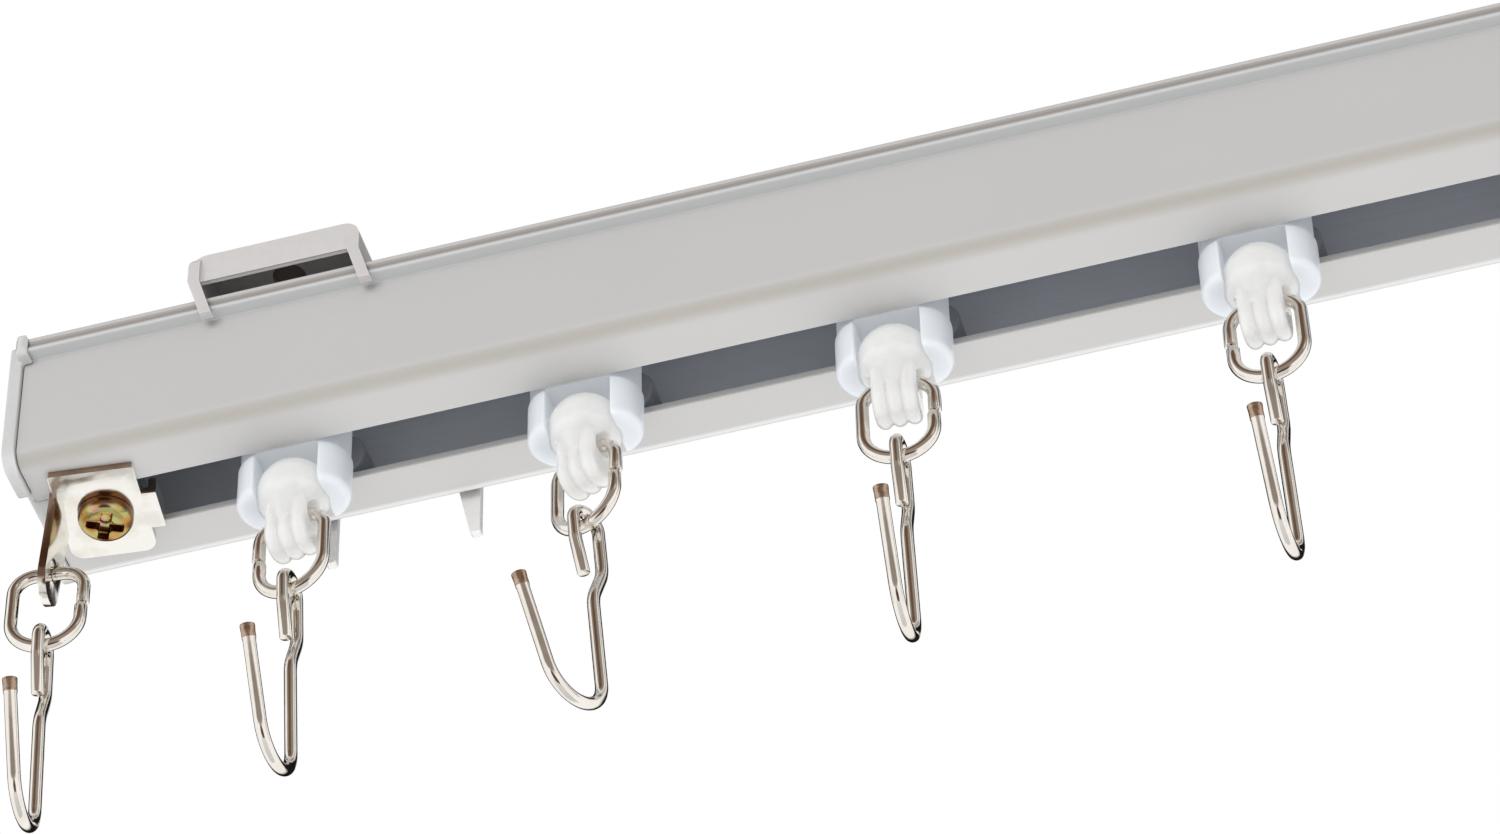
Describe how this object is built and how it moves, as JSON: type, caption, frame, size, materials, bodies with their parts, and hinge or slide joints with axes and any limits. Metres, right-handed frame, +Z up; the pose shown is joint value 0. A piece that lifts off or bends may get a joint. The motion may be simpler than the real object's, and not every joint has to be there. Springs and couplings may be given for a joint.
{
  "type": "curtain track",
  "caption": "Ceiling-mounted curtain track: white C-shaped rail with end caps, clip brackets, end stops, wheeled carriers, swivel eyes, wire rings and hooks.",
  "frame": {"origin": "centre of the four ceiling screw holes, on the brackets' top faces where they meet the ceiling", "axes": "+X along the rail from the left end seen from the front, +Y to the rear, +Z up into the ceiling"},
  "size_m": [0.3088, 0.0338, 0.0931],
  "materials": {
    "rail_powder_coat": "satin powder coat",
    "cap_plastic": "moulded, soft gloss",
    "bracket_enamel": "satin enamel",
    "latch_enamel": "satin enamel",
    "rivet_zinc": "dull zinc",
    "plate_nickel": "nickel plated, fine grain",
    "screw_yellow_zinc": "yellow zinc plating",
    "nut_zinc": "bright zinc",
    "carrier_nylon": "moulded nylon, soft gloss",
    "wheel_nylon": "moulded nylon, soft gloss",
    "swivel_nylon": "natural nylon, slightly clear",
    "wire_nickel": "polished nickel"
  },
  "bodies": {
    "track": {"rail": "rail_powder_coat", "end_cap_left": "cap_plastic", "end_cap_right": "cap_plastic", "bracket_clip_left": "bracket_enamel", "bracket_latch_left": "latch_enamel", "bracket_rivet_left": "rivet_zinc", "bracket_clip_right": "bracket_enamel", "bracket_latch_right": "latch_enamel", "bracket_rivet_right": "rivet_zinc", "stop_plate_left": "plate_nickel", "stop_screw_left": "screw_yellow_zinc", "stop_nut_left": "nut_zinc", "stop_plate_right": "plate_nickel", "stop_screw_right": "screw_yellow_zinc", "stop_nut_right": "nut_zinc"},
    "carrier_1": {"carrier_1_body": "carrier_nylon"},
    "carrier_1_wheels_left": {"carrier_1_wheels_left": "wheel_nylon"},
    "carrier_1_wheels_right": {"carrier_1_wheels_right": "wheel_nylon"},
    "carrier_1_swivel": {"carrier_1_swivel": "swivel_nylon"},
    "carrier_1_ring": {"carrier_1_ring": "wire_nickel"},
    "carrier_1_hook": {"carrier_1_hook": "wire_nickel"},
    "carrier_2": {"carrier_2_body": "carrier_nylon"},
    "carrier_2_wheels_left": {"carrier_2_wheels_left": "wheel_nylon"},
    "carrier_2_wheels_right": {"carrier_2_wheels_right": "wheel_nylon"},
    "carrier_2_swivel": {"carrier_2_swivel": "swivel_nylon"},
    "carrier_2_ring": {"carrier_2_ring": "wire_nickel"},
    "carrier_2_hook": {"carrier_2_hook": "wire_nickel"},
    "carrier_3": {"carrier_3_body": "carrier_nylon"},
    "carrier_3_wheels_left": {"carrier_3_wheels_left": "wheel_nylon"},
    "carrier_3_wheels_right": {"carrier_3_wheels_right": "wheel_nylon"},
    "carrier_3_swivel": {"carrier_3_swivel": "swivel_nylon"},
    "carrier_3_ring": {"carrier_3_ring": "wire_nickel"},
    "carrier_3_hook": {"carrier_3_hook": "wire_nickel"},
    "carrier_4": {"carrier_4_body": "carrier_nylon"},
    "carrier_4_wheels_left": {"carrier_4_wheels_left": "wheel_nylon"},
    "carrier_4_wheels_right": {"carrier_4_wheels_right": "wheel_nylon"},
    "carrier_4_swivel": {"carrier_4_swivel": "swivel_nylon"},
    "carrier_4_ring": {"carrier_4_ring": "wire_nickel"},
    "carrier_4_hook": {"carrier_4_hook": "wire_nickel"},
    "carrier_5": {"carrier_5_body": "carrier_nylon"},
    "carrier_5_wheels_left": {"carrier_5_wheels_left": "wheel_nylon"},
    "carrier_5_wheels_right": {"carrier_5_wheels_right": "wheel_nylon"},
    "carrier_5_swivel": {"carrier_5_swivel": "swivel_nylon"},
    "carrier_5_ring": {"carrier_5_ring": "wire_nickel"},
    "carrier_5_hook": {"carrier_5_hook": "wire_nickel"},
    "stop_ring_left": {"stop_ring_left": "wire_nickel"},
    "stop_hook_left": {"stop_hook_left": "wire_nickel"},
    "stop_ring_right": {"stop_ring_right": "wire_nickel"},
    "stop_hook_right": {"stop_hook_right": "wire_nickel"}
  },
  "joints": [
    {"name": "carrier_1_run", "type": "slide", "parent": "track", "child": "carrier_1", "axis": [1, 0, 0], "range_m": [-0.011, 0.007]},
    {"name": "carrier_1_wheels_left_roll", "type": "hinge", "parent": "carrier_1", "child": "carrier_1_wheels_left", "pos_m": [-0.11665, 0, -0.02545], "axis": [0, 1, 0], "range_deg": [-153, 98]},
    {"name": "carrier_1_wheels_right_roll", "type": "hinge", "parent": "carrier_1", "child": "carrier_1_wheels_right", "pos_m": [-0.10775, 0, -0.02545], "axis": [0, 1, 0], "range_deg": [-153, 98]},
    {"name": "carrier_1_swivel_turn", "type": "hinge", "parent": "carrier_1", "child": "carrier_1_swivel", "pos_m": [-0.1122, 0, -0.0369], "axis": [0, 0, 1], "continuous": true},
    {"name": "carrier_1_ring_swing", "type": "hinge", "parent": "carrier_1_swivel", "child": "carrier_1_ring", "pos_m": [-0.1122, 0, -0.0418], "axis": [0.9903, -0.1392, 0], "range_deg": [-28, 28]},
    {"name": "carrier_1_hook_swing", "type": "hinge", "parent": "carrier_1_ring", "child": "carrier_1_hook", "pos_m": [-0.1122, 0, -0.0559], "axis": [0.9903, -0.1392, 0], "range_deg": [-20, 20]},
    {"name": "carrier_2_run", "type": "slide", "parent": "track", "child": "carrier_2", "axis": [1, 0, 0], "range_m": [-0.007, 0.008]},
    {"name": "carrier_2_wheels_left_roll", "type": "hinge", "parent": "carrier_2", "child": "carrier_2_wheels_left", "pos_m": [-0.07325, 0, -0.02545], "axis": [0, 1, 0], "range_deg": [-98, 112]},
    {"name": "carrier_2_wheels_right_roll", "type": "hinge", "parent": "carrier_2", "child": "carrier_2_wheels_right", "pos_m": [-0.06435, 0, -0.02545], "axis": [0, 1, 0], "range_deg": [-98, 112]},
    {"name": "carrier_2_swivel_turn", "type": "hinge", "parent": "carrier_2", "child": "carrier_2_swivel", "pos_m": [-0.0688, 0, -0.0369], "axis": [0, 0, 1], "continuous": true},
    {"name": "carrier_2_ring_swing", "type": "hinge", "parent": "carrier_2_swivel", "child": "carrier_2_ring", "pos_m": [-0.0688, 0, -0.0418], "axis": [0.9336, -0.3584, 0], "range_deg": [-28, 28]},
    {"name": "carrier_2_hook_swing", "type": "hinge", "parent": "carrier_2_ring", "child": "carrier_2_hook", "pos_m": [-0.0688, 0, -0.0559], "axis": [0.9336, -0.3584, 0], "range_deg": [-20, 20]},
    {"name": "carrier_3_run", "type": "slide", "parent": "track", "child": "carrier_3", "axis": [1, 0, 0], "range_m": [-0.008, 0.009]},
    {"name": "carrier_3_wheels_left_roll", "type": "hinge", "parent": "carrier_3", "child": "carrier_3_wheels_left", "pos_m": [-0.02805, 0, -0.02545], "axis": [0, 1, 0], "range_deg": [-112, 125]},
    {"name": "carrier_3_wheels_right_roll", "type": "hinge", "parent": "carrier_3", "child": "carrier_3_wheels_right", "pos_m": [-0.01915, 0, -0.02545], "axis": [0, 1, 0], "range_deg": [-112, 125]},
    {"name": "carrier_3_swivel_turn", "type": "hinge", "parent": "carrier_3", "child": "carrier_3_swivel", "pos_m": [-0.0236, 0, -0.0369], "axis": [0, 0, 1], "continuous": true},
    {"name": "carrier_3_ring_swing", "type": "hinge", "parent": "carrier_3_swivel", "child": "carrier_3_ring", "pos_m": [-0.0236, 0, -0.0418], "axis": [0.9994, 0.0349, 0], "range_deg": [-28, 28]},
    {"name": "carrier_3_hook_swing", "type": "hinge", "parent": "carrier_3_ring", "child": "carrier_3_hook", "pos_m": [-0.0236, 0, -0.0559], "axis": [0.9994, 0.0349, 0], "range_deg": [-20, 20]},
    {"name": "carrier_4_run", "type": "slide", "parent": "track", "child": "carrier_4", "axis": [1, 0, 0], "range_m": [-0.009, 0.009]},
    {"name": "carrier_4_wheels_left_roll", "type": "hinge", "parent": "carrier_4", "child": "carrier_4_wheels_left", "pos_m": [0.02435, 0, -0.02545], "axis": [0, 1, 0], "range_deg": [-125, 125]},
    {"name": "carrier_4_wheels_right_roll", "type": "hinge", "parent": "carrier_4", "child": "carrier_4_wheels_right", "pos_m": [0.03325, 0, -0.02545], "axis": [0, 1, 0], "range_deg": [-125, 125]},
    {"name": "carrier_4_swivel_turn", "type": "hinge", "parent": "carrier_4", "child": "carrier_4_swivel", "pos_m": [0.0288, 0, -0.0369], "axis": [0, 0, 1], "continuous": true},
    {"name": "carrier_4_ring_swing", "type": "hinge", "parent": "carrier_4_swivel", "child": "carrier_4_ring", "pos_m": [0.0288, 0, -0.0418], "axis": [0.9962, -0.0872, 0], "range_deg": [-28, 28]},
    {"name": "carrier_4_hook_swing", "type": "hinge", "parent": "carrier_4_ring", "child": "carrier_4_hook", "pos_m": [0.0288, 0, -0.0559], "axis": [0.9962, -0.0872, 0], "range_deg": [-20, 20]},
    {"name": "carrier_5_run", "type": "slide", "parent": "track", "child": "carrier_5", "axis": [1, 0, 0], "range_m": [-0.009, 0.038]},
    {"name": "carrier_5_wheels_left_roll", "type": "hinge", "parent": "carrier_5", "child": "carrier_5_wheels_left", "pos_m": [0.07555, 0, -0.02545], "axis": [0, 1, 0], "range_deg": [-125, 521]},
    {"name": "carrier_5_wheels_right_roll", "type": "hinge", "parent": "carrier_5", "child": "carrier_5_wheels_right", "pos_m": [0.08445, 0, -0.02545], "axis": [0, 1, 0], "range_deg": [-125, 521]},
    {"name": "carrier_5_swivel_turn", "type": "hinge", "parent": "carrier_5", "child": "carrier_5_swivel", "pos_m": [0.08, 0, -0.0369], "axis": [0, 0, 1], "continuous": true},
    {"name": "carrier_5_ring_swing", "type": "hinge", "parent": "carrier_5_swivel", "child": "carrier_5_ring", "pos_m": [0.08, 0, -0.0418], "axis": [0.9976, 0.0698, 0], "range_deg": [-28, 28]},
    {"name": "carrier_5_hook_swing", "type": "hinge", "parent": "carrier_5_ring", "child": "carrier_5_hook", "pos_m": [0.08, 0, -0.0559], "axis": [0.9976, 0.0698, 0], "range_deg": [-20, 20]},
    {"name": "stop_ring_left_swing", "type": "hinge", "parent": "track", "child": "stop_ring_left", "pos_m": [-0.14846, -0.00112, -0.0433], "axis": [0.9925, 0.1219, 0], "range_deg": [-25, 25]},
    {"name": "stop_hook_left_swing", "type": "hinge", "parent": "stop_ring_left", "child": "stop_hook_left", "pos_m": [-0.14846, -0.00112, -0.0574], "axis": [0.9925, 0.1219, 0], "range_deg": [-20, 20]},
    {"name": "stop_ring_right_swing", "type": "hinge", "parent": "track", "child": "stop_ring_right", "pos_m": [0.14846, 0.00112, -0.0433], "axis": [0.9925, 0.1219, 0], "range_deg": [-25, 25]},
    {"name": "stop_hook_right_swing", "type": "hinge", "parent": "stop_ring_right", "child": "stop_hook_right", "pos_m": [0.14846, 0.00112, -0.0574], "axis": [0.9925, 0.1219, 0], "range_deg": [-20, 20]}
  ],
  "couplings": [
    {"joint": "carrier_1_wheels_left_roll", "follows": "carrier_1_run", "rad_per_m": 238.09},
    {"joint": "carrier_1_wheels_right_roll", "follows": "carrier_1_run", "rad_per_m": 238.09},
    {"joint": "carrier_2_wheels_left_roll", "follows": "carrier_2_run", "rad_per_m": 238.09},
    {"joint": "carrier_2_wheels_right_roll", "follows": "carrier_2_run", "rad_per_m": 238.09},
    {"joint": "carrier_3_wheels_left_roll", "follows": "carrier_3_run", "rad_per_m": 238.09},
    {"joint": "carrier_3_wheels_right_roll", "follows": "carrier_3_run", "rad_per_m": 238.09},
    {"joint": "carrier_4_wheels_left_roll", "follows": "carrier_4_run", "rad_per_m": 238.09},
    {"joint": "carrier_4_wheels_right_roll", "follows": "carrier_4_run", "rad_per_m": 238.09},
    {"joint": "carrier_5_wheels_left_roll", "follows": "carrier_5_run", "rad_per_m": 238.09},
    {"joint": "carrier_5_wheels_right_roll", "follows": "carrier_5_run", "rad_per_m": 238.09}
  ]
}
